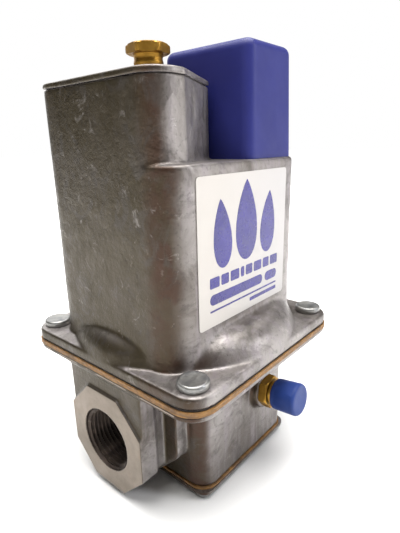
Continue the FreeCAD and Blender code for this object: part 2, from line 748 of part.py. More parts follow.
def brass_cap():
    """Hexagon head, necked pipe thread and a hollow shank over the screw's end."""
    low = TOWER_TOP - CAP_THREAD
    shank = rod(CAP_NECK_R, low, CAP_HEX_BOTTOM, COIL_X)
    head = hexagon(CAP_HEX_FLATS, CAP_HEX_BOTTOM, CAP_HEX_TOP, COIL_X, 0, CAP_HEX_TURN)
    cone_top = Part.makeCone(8.6, 6.4, 2.2, Vector(COIL_X, 0, CAP_HEX_TOP - 1.2))
    keep = rod(8.6, CAP_HEX_BOTTOM - 1, CAP_HEX_TOP - 1.2, COIL_X).fuse(cone_top)
    return shank.fuse(head.common(keep)).cut(rod(CAP_BORE_R, low - 1, CAP_HEX_BOTTOM, COIL_X))


def cap_seal():
    return tube(CAP_NECK_R - 0.3, CAP_BORE_R + 0.3, TOWER_TOP - CAP_THREAD - 1.0, TOWER_TOP - CAP_THREAD, COIL_X)


# ---------------------------------------------------------------- terminal side

def cover_shape(inset, z0, z1, top_r):
    """The cover's outside, or its hollow at a given inset: four drafted walls and a rounded top."""
    def corners(draft):
        edge = inset + draft
        radius = COVER_R - inset * 0.8
        return rectangle(COVER_X0 + edge, COVER_X1 - edge, COVER_Y0 + edge, COVER_Y1 - edge, radius)

    return round_edges(taper(corners(0), z0, corners(COVER_DRAFT), z1), top_r, at_height(z1))


def terminal_cover():
    cover = cover_shape(0, LEDGE, COVER_TOP, COVER_TOP_R)
    hollow = cover_shape(COVER_WALL, LEDGE - 1, COVER_TOP - COVER_WALL, COVER_TOP_R - COVER_WALL)
    cover = cover.cut(hollow)
    half = ENTRY_WIDTH / 2
    entry = prism(
        rectangle(-half, half, -ENTRY_HEIGHT, ENTRY_HEIGHT, half - 0.1), 0, 6.0,
    )
    entry = along_x(entry, COVER_X1 - 3)
    entry.rotate(Vector(0, 0, 0), Vector(1, 0, 0), 90)
    entry.translate(Vector(0, ENTRY_Y, LEDGE))
    return cover.cut(entry)


def terminal_block():
    low = LEDGE
    block = box(6.0, 28.0, -9.0, 3.4, low, low + 10)
    block = block.fuse(box(16.4, 17.6, -9.0, 3.4, low + 10, low + 14))
    holes = [rod(2.0, low - 1, low + 8, x, 0.0) for x in (12.0, 22.0)]
    screw_holes = [rod(1.5, low + 3, low + 11, x, -5.0) for x in (12.0, 22.0)]
    return block.cut(Part.makeCompound(holes + screw_holes))


def terminal_screws():
    low = LEDGE + 10
    screws = []
    for x in (12.0, 22.0):
        screw = turned([
            (0, low - 6.5), (1.45, low - 6.5), (1.45, low), (3.4, low), (3.4, low + 1.2), (2.4, low + 2.0),
            (0, low + 2.0),
        ], x, -5.0)
        screws.append(screw.cut(box(x - 4, x + 4, -5.4, -4.6, low + 1.0, low + 2.5)))
    return screws


def coil_leads():
    """Two insulated leads from the coil, up through the ledge into the terminal block."""
    leads = []
    radius = 1.1
    bend = 5.0
    z_low = LEDGE - BONNET_WALL - 8.0
    for x, rise in ((12.0, 0.0), (22.0, -4.0)):
        start = Vector(COIL_X + BOBBIN_R + 0.2, 0.0, z_low + rise)
        elbow = Vector(x, 0.0, z_low + rise)
        end = Vector(x, 0.0, LEDGE + 7.5)
        to_start = (start - elbow).normalize()
        corner_a = elbow + to_start * bend
        corner_b = elbow + UP * bend
        centre = corner_a + UP * bend
        middle = centre + (elbow - centre).normalize() * bend
        path = Part.Wire([
            Part.LineSegment(start, corner_a).toShape(),
            Part.Arc(corner_a, middle, corner_b).toShape(),
            Part.LineSegment(corner_b, end).toShape(),
        ])
        circle = Part.Circle(start, corner_a - start, radius)
        leads.append(path.makePipeShell([Part.Wire(circle.toShape())], True, False))
    return leads


# ---------------------------------------------------------------- pressure tap

def tap_nipple():
    nipple = turned([
        (1.2, -7), (4.15, -7), (4.15, TAP_BOSS_HEIGHT), (6.3, TAP_BOSS_HEIGHT), (6.3, TAP_HEX_END),
        (TAP_NIPPLE_R, TAP_HEX_END), (TAP_NIPPLE_R, TAP_NIPPLE_END - 0.8),
        (TAP_NIPPLE_R - 0.8, TAP_NIPPLE_END), (1.2, TAP_NIPPLE_END),
    ])
    head = hexagon(TAP_HEX_FLATS, TAP_BOSS_HEIGHT, TAP_HEX_END, 0, 0, 12.0)
    cone = Part.makeCone(8.4, 6.3, 1.4, Vector(0, 0, TAP_HEX_END - 1.4))
    keep = rod(8.4, TAP_BOSS_HEIGHT, TAP_HEX_END - 1.4).fuse(cone)
    head = head.common(keep).cut(rod(1.2, 0, TAP_HEX_END + 1))
    return tap_place(nipple.fuse(head))


def tap_cap():
    gap = 0.3
    cap = turned([
        (TAP_NIPPLE_R + gap, TAP_CAP_START), (TAP_CAP_R - 0.25, TAP_CAP_START),
        (TAP_CAP_R, TAP_CAP_END - 0.9), (TAP_CAP_R - 0.3, TAP_CAP_END - 0.25),
        (TAP_CAP_R - 0.9, TAP_CAP_END), (0, TAP_CAP_END), (0, TAP_NIPPLE_END + gap),
        (TAP_NIPPLE_R + gap, TAP_NIPPLE_END + gap),
    ])
    return tap_place(cap)


PARTS = {
    "lower_body": lambda: [lower_body()],
    "base_plate": lambda: [base_plate()],
    "base_gasket": lambda: [base_gasket()],
    "base_screws": lambda: four(base_screw(), BASE_SCREW_X, BASE_SCREW_Y),
    "flange_screws": lambda: four(flange_screw(), SCREW_OFFSET, SCREW_OFFSET),
    "diaphragm_gasket": lambda: [diaphragm_gasket()],
    "diaphragm": lambda: [diaphragm()],
    "bonnet": lambda: [bonnet()],
    "tower_lid": lambda: [tower_lid()],
    "lid_gasket": lambda: [lid_gasket()],
    "lid_screws": lid_screws,
    "label_plate": lambda: [label_plate()],
    "valve_seat": lambda: [valve_seat()],
    "disc_facing": lambda: [disc_facing()],
    "valve_disc": lambda: [valve_disc()],
    "disc_clip": lambda: [disc_clip()],
    "valve_stem": lambda: [valve_stem()],
    "lower_diaphragm_plate": lambda: [lower_diaphragm_plate()],
    "upper_diaphragm_plate": lambda: [upper_diaphragm_plate()],
    "stem_nut": lambda: [stem_nut()],
    "main_spring": lambda: [main_spring()],
    "pilot_nozzle": lambda: [pilot_nozzle()],
    "yoke": lambda: [yoke()],
    "yoke_bar": lambda: [yoke_bar()],
    "yoke_screws": yoke_screws,
    "bobbin": lambda: [bobbin()],
    "winding": lambda: [winding()],
    "core_tube": lambda: [core_tube()],
    "pole_piece": lambda: [pole_piece()],
    "core_nut": lambda: [core_nut()],
    "plunger": lambda: [plunger()],
    "pilot_pad": lambda: [pilot_pad()],
    "pilot_spring": lambda: [pilot_spring()],
    "spring_button": lambda: [spring_button()],
    "adjusting_screw": lambda: [adjusting_screw()],
    "adjuster_housing": lambda: [adjuster_housing()],
    "brass_cap": lambda: [brass_cap()],
    "cap_seal": lambda: [cap_seal()],
    "terminal_cover": lambda: [terminal_cover()],
    "terminal_block": lambda: [terminal_block()],
    "terminal_screws": terminal_screws,
    "coil_leads": coil_leads,
    "tap_nipple": lambda: [tap_nipple()],
    "tap_cap": lambda: [tap_cap()],
}


def main():
    os.makedirs("parts", exist_ok=True)
    for name, make in PARTS.items():
        export(name, make())


main()
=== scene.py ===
import json
import math

import bmesh
import bpy
from mathutils import Matrix, Vector, noise

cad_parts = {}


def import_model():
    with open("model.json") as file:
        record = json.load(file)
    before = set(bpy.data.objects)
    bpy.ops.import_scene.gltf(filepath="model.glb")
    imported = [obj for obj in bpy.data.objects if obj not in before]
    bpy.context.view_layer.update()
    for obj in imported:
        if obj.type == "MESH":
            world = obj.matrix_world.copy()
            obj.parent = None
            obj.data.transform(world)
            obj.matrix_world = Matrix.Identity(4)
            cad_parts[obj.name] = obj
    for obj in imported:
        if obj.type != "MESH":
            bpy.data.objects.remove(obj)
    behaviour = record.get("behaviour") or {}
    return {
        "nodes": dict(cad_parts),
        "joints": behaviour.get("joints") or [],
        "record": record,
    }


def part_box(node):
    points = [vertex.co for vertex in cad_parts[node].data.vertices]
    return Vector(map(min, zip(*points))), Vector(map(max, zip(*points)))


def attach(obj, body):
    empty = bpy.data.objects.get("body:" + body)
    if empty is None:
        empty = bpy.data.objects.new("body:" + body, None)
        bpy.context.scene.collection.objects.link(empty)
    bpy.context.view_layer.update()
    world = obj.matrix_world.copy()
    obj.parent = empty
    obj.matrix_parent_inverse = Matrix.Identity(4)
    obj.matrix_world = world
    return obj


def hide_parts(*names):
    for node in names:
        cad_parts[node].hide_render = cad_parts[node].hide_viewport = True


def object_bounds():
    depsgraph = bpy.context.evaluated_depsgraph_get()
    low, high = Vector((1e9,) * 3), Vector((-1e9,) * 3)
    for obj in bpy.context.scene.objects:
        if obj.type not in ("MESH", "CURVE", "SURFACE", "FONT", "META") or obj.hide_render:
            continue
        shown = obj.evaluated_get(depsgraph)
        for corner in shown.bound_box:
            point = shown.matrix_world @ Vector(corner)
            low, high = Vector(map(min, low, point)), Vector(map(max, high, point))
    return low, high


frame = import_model()
cad_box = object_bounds()
bpy.context.scene.view_settings.view_transform = "Standard"

MM = 0.001


def centre_of(node):
    low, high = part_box(node)
    return (low + high) / 2


# Places read from the frame
LOW_BODY, HIGH_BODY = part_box("lower_body")
LOW_BONNET, HIGH_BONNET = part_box("bonnet")
LOW_LID, HIGH_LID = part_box("tower_lid")
LOW_CAP, HIGH_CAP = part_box("brass_cap")
LOW_LABEL, HIGH_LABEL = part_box("label_plate")
LOW_SCREWS, HIGH_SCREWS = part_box("flange_screws")
LOW_SEAT, HIGH_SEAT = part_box("valve_seat")
AXIS_X = (LOW_SEAT.x + HIGH_SEAT.x) / 2
INLET_X = LOW_BODY.x
OUTLET_X = HIGH_BODY.x
HEAD_HEIGHT = 2.6 * MM
SCREW_INSET = 41.275 * MM
TAP_WALL_Y = -36.2 * MM
TAP_HEIGHT = 8.9 * MM
FLANGE_Z = HIGH_SCREWS.z - HEAD_HEIGHT
CAP_CENTRE = centre_of("cap_seal")
PORT_R = next(m for m in frame["record"]["mounts"] if m["name"] == "inlet_port")["dims"]["r_mm"] * MM


# ---------------------------------------------------------------- node graphs

class Graph:
    """A small helper that adds shader nodes and links them."""

    def __init__(self, name):
        self.material = bpy.data.materials.new(name)
        self.material.use_nodes = True
        self.tree = self.material.node_tree
        self.tree.nodes.clear()
        self.shader = self.tree.nodes.new("ShaderNodeBsdfPrincipled")
        output = self.tree.nodes.new("ShaderNodeOutputMaterial")
        self.tree.links.new(self.shader.outputs[0], output.inputs[0])
        self.place = self.tree.nodes.new("ShaderNodeTexCoord").outputs["Object"]

    def put(self, node, socket, value):
        if hasattr(value, "is_output"):
            self.tree.links.new(value, node.inputs[socket])
        else:
            node.inputs[socket].default_value = value

    def set(self, socket, value):
        self.put(self.shader, socket, value)

    def stretch(self, scale):
        node = self.tree.nodes.new("ShaderNodeMapping")
        self.put(node, "Vector", self.place)
        node.inputs["Scale"].default_value = scale
        return node.outputs[0]

    def noise(self, scale, detail=4.0, rough=0.55, vector=None, warp=0.0):
        node = self.tree.nodes.new("ShaderNodeTexNoise")
        self.put(node, "Vector", vector or self.place)
        node.inputs["Scale"].default_value = scale
        node.inputs["Detail"].default_value = detail
        node.inputs["Roughness"].default_value = rough
        node.inputs["Distortion"].default_value = warp
        return node.outputs[0]

    def ramp(self, value, low, high, out_low=0.0, out_high=1.0):
        node = self.tree.nodes.new("ShaderNodeMapRange")
        node.interpolation_type = "SMOOTHSTEP"
        self.put(node, "Value", value)
        self.put(node, "From Min", low)
        self.put(node, "From Max", high)
        self.put(node, "To Min", out_low)
        self.put(node, "To Max", out_high)
        return node.outputs[0]

    def mix(self, amount, first, second, blend="MIX"):
        node = self.tree.nodes.new("ShaderNodeMix")
        node.data_type = "RGBA"
        node.blend_type = blend
        self.put(node, "Factor", amount)
        for socket, value in (("A", first), ("B", second)):
            target = next(s for s in node.inputs if s.name == socket and s.type == "RGBA")
            if hasattr(value, "is_output"):
                self.tree.links.new(value, target)
            else:
                target.default_value = (*value, 1.0)
        return next(s for s in node.outputs if s.type == "RGBA")

    def math(self, operation, first, second=0.0):
        node = self.tree.nodes.new("ShaderNodeMath")
        node.operation = operation
        self.put(node, 0, first)
        self.put(node, 1, second)
        return node.outputs[0]

    def axis(self, name):
        node = self.tree.nodes.new("ShaderNodeSeparateXYZ")
        self.put(node, 0, self.place)
        return node.outputs[name]

    def facing(self):
        """How far the surface faces the inlet side, from -1 to 1."""
        normal = self.tree.nodes.new("ShaderNodeNewGeometry").outputs["Normal"]
        node = self.tree.nodes.new("ShaderNodeSeparateXYZ")
        self.put(node, 0, normal)
        return self.math("MULTIPLY", node.outputs["X"], -1.0)

    def bump(self, height, depth, strength=1.0, under=None):
        node = self.tree.nodes.new("ShaderNodeBump")
        self.put(node, "Height", height)
        node.inputs["Distance"].default_value = depth
        node.inputs["Strength"].default_value = strength
        if under is not None:
            self.put(node, "Normal", under)
        return node.outputs[0]


def cast_metal(name, light, dark, side, rust):
    """Die-cast aluminium: mottled, streaked downwards, with painted shade in dark olive on the faces turned
    to the inlet side, rusty by the front corner.
    """
    g = Graph(name)
    facing = g.facing()
    broad = g.noise(24.0, 5.0, 0.62, warp=0.8)
    blotch = g.noise(85.0, 7.0, 0.66, warp=1.0)
    streak = g.noise(1.0, 6.0, 0.62, g.stretch((250.0, 250.0, 24.0)))
    grain = g.noise(700.0, 4.0, 0.65)
    colour = g.mix(g.ramp(broad, 0.36, 0.64), dark, light)
    cool = tuple(c * k for c, k in zip(light, (0.86, 0.82, 0.90)))
    colour = g.mix(g.ramp(streak, 0.44, 0.68, 0.0, 0.7), colour, cool)
    # painted shade: faces turned to the inlet side are darkened to a dark olive, broken up by the broad noise
    inlet_shade_mix = g.math("MULTIPLY", g.ramp(facing, 0.35, 0.85), g.ramp(broad, 0.25, 0.6, 0.75, 1.0))
    colour = g.mix(inlet_shade_mix, colour, side)
    near_corner = g.ramp(g.axis("Y"), -0.020, -0.029)
    rusty = g.math("MULTIPLY", near_corner, g.ramp(facing, 0.30, 0.75))
    rusty = g.math("MULTIPLY", rusty, g.ramp(g.noise(60.0, 5.0, 0.6, warp=1.0), 0.34, 0.6, 0.25, 0.95))
    colour = g.mix(rusty, colour, rust)
    colour = g.mix(g.ramp(blotch, 0.50, 0.66, 0.0, 0.6), colour, tuple(c * 0.52 for c in dark))
    bright = tuple(min(1.0, c * 1.7) for c in light)
    colour = g.mix(g.ramp(g.noise(120.0, 7.0, 0.7, warp=1.4), 0.58, 0.72, 0.0, 0.30), colour, bright)
    colour = g.mix(g.ramp(grain, 0.54, 0.72, 0.0, 0.45), colour, tuple(c * 0.30 for c in dark))
    g.set("Base Color", colour)
    g.set("Metallic", 0.6)
    g.set("Roughness", g.ramp(g.noise(130.0, 6.0, 0.65), 0.3, 0.75, 0.30, 0.50))
    skin = g.bump(g.noise(420.0, 5.0, 0.65), 0.00030, 0.8)
    skin = g.bump(g.noise(60.0, 4.0, 0.5), 0.0011, 0.4, skin)
    g.set("Normal", skin)
    return g.material


def machined_metal(name):
    """A faced surface with fine turning rings round the pipe axis."""
    g = Graph(name)
    y = g.axis("Y")
    z = g.axis("Z")
    radius = g.math("SQRT", g.math("ADD", g.math("MULTIPLY", y, y), g.math("MULTIPLY", z, z)))
    rings = g.math("SINE", g.math("MULTIPLY", radius, 9000.0))
    rings = g.math("ADD", rings, g.math("MULTIPLY", g.noise(500.0, 3.0), 1.5))
    colour = g.mix(g.ramp(g.noise(60.0, 5.0), 0.35, 0.7), (0.20, 0.165, 0.13), (0.27, 0.225, 0.185))
    colour = g.mix(g.ramp(g.noise(160.0, 5.0), 0.62, 0.8, 0.0, 0.5), colour, (0.25, 0.18, 0.12))
    g.set("Base Color", colour)
    g.set("Metallic", 0.55)
    g.set("Roughness", g.ramp(g.noise(220.0, 4.0), 0.3, 0.7, 0.36, 0.55))
    g.set("Normal", g.bump(rings, 0.00002, 0.6))
    return g.material


def plated_steel(name, base, rough=0.28):
    g = Graph(name)
    tint = tuple(c * k for c, k in zip(base, (0.72, 0.74, 0.80)))
    colour = g.mix(g.ramp(g.noise(260.0, 5.0, 0.6), 0.4, 0.68), base, tint)
    colour = g.mix(g.ramp(g.noise(700.0, 4.0), 0.62, 0.8, 0.0, 0.5), colour, (0.30, 0.28, 0.24))
    g.set("Base Color", colour)
    g.set("Metallic", 0.92)
    g.set("Roughness", g.ramp(g.noise(500.0, 4.0), 0.3, 0.7, rough, rough + 0.16))
    g.set("Normal", g.bump(g.noise(650.0, 4.0), 0.0001, 0.6))
    return g.material


def brass_metal(name):
    g = Graph(name)
    colour = g.mix(g.ramp(g.noise(210.0, 5.0), 0.35, 0.7), (0.30, 0.155, 0.022), (0.42, 0.235, 0.04))
    colour = g.mix(g.ramp(g.noise(420.0, 5.0, 0.6), 0.60, 0.78, 0.0, 0.4), colour, (0.14, 0.065, 0.015))
    g.set("Base Color", colour)
    g.set("Metallic", 0.9)
    g.set("Roughness", g.ramp(g.noise(600.0, 4.0), 0.3, 0.7, 0.34, 0.50))
    turning = g.noise(1.0, 3.0, 0.5, g.stretch((300.0, 300.0, 4200.0)))
    g.set("Normal", g.bump(turning, 0.00006, 0.5))
    return g.material


def fibre(name, light, dark):
    g = Graph(name)
    strands = g.noise(1.0, 5.0, 0.65, g.stretch((260.0, 260.0, 1500.0)))
    colour = g.mix(g.ramp(strands, 0.35, 0.65), dark, light)
    colour = g.mix(g.ramp(g.noise(90.0, 4.0, 0.6), 0.5, 0.7, 0.0, 0.6), colour, tuple(c * 0.35 for c in dark))
    g.set("Base Color", colour)
    g.set("Roughness", g.ramp(g.noise(700.0, 3.0), 0.3, 0.7, 0.5, 0.8))
    g.set("Normal", g.bump(strands, 0.0003, 0.8))
    return g.material


def moulded(name, base, lift, rough):
    """Moulded plastic: a fine spark-eroded skin with faint clouds and rubbed spots."""
    g = Graph(name)
    colour = g.mix(g.ramp(g.noise(40.0, 4.0), 0.3, 0.7), base, lift)
    rubbed = tuple(min(1.0, c * 2.2) for c in lift)
    colour = g.mix(g.ramp(g.noise(320.0, 5.0, 0.7), 0.66, 0.82, 0.0, 0.35), colour, rubbed)
    g.set("Base Color", colour)
    g.set("Roughness", g.ramp(g.noise(120.0, 5.0), 0.3, 0.7, rough, rough + 0.12))
    g.set("Specular IOR Level", 0.22)
    g.set("Normal", g.bump(g.noise(2250.0, 3.0), 0.00006, 0.6))
    return g.material


def film(name, base):
    """Glossy label film with a painted bluish reflection growing across it and small scuffs."""
    g = Graph(name)
    x = g.axis("X")
    # painted reflection: the label turns darker and bluer from its low-x end to its high-x end
    cast = g.ramp(x, LOW_LABEL.x, HIGH_LABEL.x)
    colour = g.mix(cast, base, tuple(c * k for c, k in zip(base, (0.93, 0.95, 1.0))))
    colour = g.mix(g.ramp(g.noise(150.0, 5.0), 0.6, 0.8, 0.0, 0.25), colour, (0.52, 0.47, 0.42))
    g.set("Base Color", colour)
    g.set("Roughness", g.ramp(g.noise(180.0, 4.0), 0.3, 0.7, 0.34, 0.46))
    g.set("Specular IOR Level", 0.3)
    g.set("Normal", g.bump(g.noise(70.0, 3.0), 0.0002, 0.35))
    return g.material


def print_ink(name, base, lift):
    g = Graph(name)
    g.set("Base Color", g.mix(g.ramp(g.noise(120.0, 4.0), 0.3, 0.7), base, lift))
    g.set("Roughness", g.ramp(g.noise(260.0, 3.0), 0.3, 0.7, 0.22, 0.32))
    return g.material


MATERIALS = {
    "cast_aluminium": cast_metal(
        # the four colours: light, dark, painted shade for the inlet side, rust
        "cast_aluminium", (0.27, 0.25, 0.24), (0.12, 0.104, 0.092),
        (0.042, 0.031, 0.014), (0.052, 0.026, 0.016)),
    "zinc_steel": plated_steel("zinc_steel", (0.30, 0.295, 0.28), 0.34),
    "steel": plated_steel("steel", (0.46, 0.46, 0.47), 0.34),
    "brass": brass_metal("brass"),
    "copper": plated_steel("copper", (0.62, 0.27, 0.13), 0.3),
    "gasket_fibre": fibre("gasket_fibre", (0.30, 0.15, 0.04), (0.13, 0.07, 0.03)),
    "diaphragm_rubber": fibre("diaphragm_rubber", (0.030, 0.026, 0.024), (0.014, 0.012, 0.012)),
    "cover_plastic": moulded("cover_plastic", (0.016, 0.019, 0.125), (0.021, 0.025, 0.155), 0.42),
    "cap_plastic": moulded("cap_plastic", (0.012, 0.032, 0.15), (0.017, 0.041, 0.185), 0.42),
    "label_film": film("label_film", (0.50, 0.47, 0.44)),
    "bobbin_plastic": moulded("bobbin_plastic", (0.60, 0.55, 0.42), (0.68, 0.63, 0.50), 0.45),
    "terminal_plastic": moulded("terminal_plastic", (0.02, 0.02, 0.02), (0.035, 0.035, 0.035), 0.4),
    "lead_insulation": moulded("lead_insulation", (0.60, 0.58, 0.52), (0.68, 0.66, 0.60), 0.5),
}
MACHINED = machined_metal("machined_face")
# painted shade: the port bores and threads are coloured much darker than the faced metal around them
SHADED_BORE = plated_steel("bore_metal_shaded", (0.075, 0.058, 0.048), 0.45)
INK = print_ink("label_ink", (0.010, 0.005, 0.135), (0.017, 0.009, 0.18))
SLOTS = {s["node"]: s["material_slot"] for s in frame["record"]["subparts"]}

for node_name, node_object in frame["nodes"].items():
    node_object.data.materials.clear()
    node_object.data.materials.append(MATERIALS[SLOTS[node_name]])


# ---------------------------------------------------------------- mesh helpers

def add_object(name, mesh, material, body, replaces=()):
    piece = bpy.data.objects.new(name, mesh)
    bpy.context.scene.collection.objects.link(piece)
    mesh.materials.append(material)
    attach(piece, body)
    if replaces:
        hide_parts(*replaces)
    return piece


def smooth(mesh, angle=None):
    mesh.shade_smooth()
    if angle is not None:
        mesh.set_sharp_from_angle(angle=math.radians(angle))


def polar_mesh(name, stations, radius, place, segments=64, inward=False, closed=True):
    """A skin whose radius is radius(angle, height, index) at each station, with fan ends."""
    mesh = bmesh.new()
    rings = []
    for index, height in enumerate(stations):
        ring = []
        for i in range(segments):
            angle = 2 * math.pi * i / segments
            r = radius(angle, height, index)
            ring.append(mesh.verts.new(place @ Vector((r * math.cos(angle), r * math.sin(angle), height))))
        rings.append(ring)
    for lower, upper in zip(rings, rings[1:]):
        for i in range(segments):
            j = (i + 1) % segments
            face = [lower[i], lower[j], upper[j], upper[i]]
            mesh.faces.new(face[::-1] if inward else face)
    if closed:
        for ring, height, flip in ((rings[0], stations[0], True), (rings[-1], stations[-1], False)):
            middle = mesh.verts.new(place @ Vector((0, 0, height)))
            for i in range(segments):
                j = (i + 1) % segments
                face = [ring[i], ring[j], middle]
                mesh.faces.new(face[::-1] if flip else face)
    data = bpy.data.meshes.new(name)
    mesh.to_mesh(data)
    mesh.free()
    return data


def turned_mesh(name, profile, place, segments=64):
    """A turned piece from (height, radius) points."""
    radii = [r for _, r in profile]
    return polar_mesh(name, [h for h, _ in profile], lambda a, h, i: radii[i], place, segments)


def joined(name, meshes):
    mesh = bmesh.new()
    for part in meshes:
        mesh.from_mesh(part)
        bpy.data.meshes.remove(part)
    data = bpy.data.meshes.new(name)
    mesh.to_mesh(data)
    mesh.free()
    return data


def hex_radius(angle, flats, turn):
    step = math.pi / 3
    local = (angle - turn) % step - step / 2
    return flats / 2 / math.cos(local)


def arc_points(h0, r0, h1, r1, steps=6):
    """Outward quarter-ellipse from (h0, r0) to (h1, r1)."""
    points = []
    for i in range(steps + 1):
        t = i / steps * math.pi / 2
        points.append((h0 + (h1 - h0) * math.sin(t), r1 + (r0 - r1) * math.cos(t)))
    return points


# ---------------------------------------------------------------- castings

def evaluated(piece):
    """Swaps an object's mesh for the result of its modifiers."""
    graph = bpy.context.evaluated_depsgraph_get()
    result = bpy.data.meshes.new_from_object(piece.evaluated_get(graph))
    piece.modifiers.clear()
    old = piece.data
    piece.data = result
    bpy.data.meshes.remove(old)


def ease(piece, passes, group=""):
    modifier = piece.modifiers.new("ease", "SMOOTH")
    modifier.factor = 0.5
    modifier.iterations = passes
    modifier.vertex_group = group


def soften(node, name, voxel, passes, keep, depth, band=None, band_passes=0):
    """A cast skin over a CAD casting: the same form with rounded edges and a slight wave.

    The corners are rounded much more inside the band, which is given as the heights where it
    starts, is full and ends.
    """
    mesh = frame["nodes"][node].data.copy()
    mesh.materials.clear()
    piece = bpy.data.objects.new(name, mesh)
    bpy.context.scene.collection.objects.link(piece)
    remesh = piece.modifiers.new("skin", "REMESH")
    remesh.mode = "VOXEL"
    remesh.voxel_size = voxel
    ease(piece, passes)
    evaluated(piece)
    if band:
        start, full, end = band
        group = piece.vertex_groups.new(name="soft")
        for vertex in piece.data.vertices:
            rise = min(1.0, max(0.0, (vertex.co.z - start) / (full - start)))
            fall = min(1.0, max(0.0, (end - vertex.co.z) / (4.0 * MM)))
            if rise * fall > 0:
                group.add([vertex.index], rise * fall, "REPLACE")
        ease(piece, band_passes, "soft")
    thin = piece.modifiers.new("thin", "DECIMATE")
    thin.ratio = keep
    evaluated(piece)
    result = piece.data
    moves = []
    for vertex in result.vertices:
        wave = noise.noise(vertex.co * 90.0) + 0.5 * noise.noise(vertex.co * 300.0)
        moves.append(vertex.co - vertex.normal * depth * (1.0 + wave))
    for vertex, place in zip(result.vertices, moves):
        vertex.co = place
    result.materials.append(MATERIALS[SLOTS[node]])
    smooth(result)
    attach(piece, "casing")
    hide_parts(node)
    return piece


def face_ports(piece):
    """Gives the faced port ends their own surface, and the bores behind them a dark one with painted shade.
    """
    piece.data.materials.append(MACHINED)
    piece.data.materials.append(SHADED_BORE)
    for polygon in piece.data.polygons:
        near = min(abs(polygon.center.x - INLET_X), abs(polygon.center.x - OUTLET_X))
        from_axis = math.hypot(polygon.center.y, polygon.center.z)
        if from_axis < PORT_R + 0.35 * MM and near < 24.0 * MM:
            polygon.material_index = 2
        elif near < 0.5 * MM and abs(polygon.normal.x) > 0.8:
            polygon.material_index = 1


DOME_BAND = (36.8 * MM, 38.6 * MM, 54.0 * MM)
soften("bonnet", "bonnet_casting", 0.55 * MM, 8, 0.22, 0.03 * MM, DOME_BAND, 55)
lower = soften("lower_body", "body_casting", 0.55 * MM, 6, 0.30, 0.02 * MM)
face_ports(lower)
lid = soften("tower_lid", "lid_casting", 0.45 * MM, 3, 0.4, 0.02 * MM)


def between(value, low, high):
    return min(1.0, max(0.0, (value - low) / (high - low)))


def settle_lid():
    """The lid sits tight on the tower except where it has lifted, at the back left and by the cover."""
    rim = LOW_LID.z + 5.5 * MM
    seat = 0.38 * MM
    for vertex in lid.data.vertices:
        rise = vertex.co.z - rim
        if -0.8 * MM < rise < 1.2 * MM:
            by_back = between(vertex.co.y, 17 * MM, 30 * MM)
            by_cover = between(vertex.co.x, AXIS_X - 9 * MM, AXIS_X - 2 * MM)
            lifted = max(by_back, by_cover)
            vertex.co.z -= seat * (1 - lifted) * (1 - between(rise, 0.5 * MM, 1.2 * MM))


settle_lid()


# ---------------------------------------------------------------- port threads

def port_thread(name, mouth_x, inward_sign):
    """Internal pipe thread as a helical ridged sleeve just inside the bore."""
    pitch = 25.4 / 14 * MM
    root = PORT_R - 0.05 * MM
    crest = PORT_R - 1.25 * MM
    length = 19.0 * MM
    steps_per_turn = 8
    count = int(length / pitch * steps_per_turn)
    stations = [pitch * i / steps_per_turn for i in range(count + 1)]

    def radius(angle, height, index):
        phase = (height / pitch - inward_sign * angle / (2 * math.pi)) % 1.0
        ridge = max(0.0, 1.0 - abs(phase - 0.5) * 2.4)
        lead = min(1.0, height / (1.6 * MM))
        taper = height / 32.0
        return root - (root - crest) * ridge * lead - taper * lead * 0.6

    turn = Matrix.Rotation(math.pi / 2 * inward_sign, 4, "Y")
    place = Matrix.Translation((mouth_x + inward_sign * 0.25 * MM, 0, 0)) @ turn
    data = polar_mesh(name, stations, radius, place, 96, inward=True, closed=False)
    smooth(data, 50)
    return add_object(name, data, SHADED_BORE, "casing")


port_thread("inlet_thread", INLET_X, 1)
port_thread("outlet_thread", OUTLET_X, -1)


# ---------------------------------------------------------------- screws

def flange_screws():
    rim = 5.7 * MM
    top = HEAD_HEIGHT
    profile = [(-10.0 * MM, 2.4 * MM), (0.0, 2.4 * MM), (0.0, rim - 0.3 * MM), (0.15 * MM, rim - 0.1 * MM),
               (0.4 * MM, rim), (top - 1.1 * MM, rim)]
    profile += arc_points(top - 1.1 * MM, rim, top, rim - 0.95 * MM)
    profile += [(top - 0.02 * MM, rim - 1.4 * MM), (top - 0.18 * MM, rim - 2.0 * MM)]
    profile += [(top - 0.22 * MM, 0.6 * MM)]
    meshes = []
    for sx in (-1, 1):
        for sy in (-1, 1):
            place = Matrix.Translation((AXIS_X + sx * SCREW_INSET, sy * SCREW_INSET, FLANGE_Z))
            meshes.append(turned_mesh("head", profile, place, 48))
    data = joined("flange_screw_heads", meshes)
    smooth(data, 40)
    return add_object(
        "flange_screw_heads", data, MATERIALS["zinc_steel"], "casing", ["flange_screws"])


flange_screws()


# ---------------------------------------------------------------- brass cap

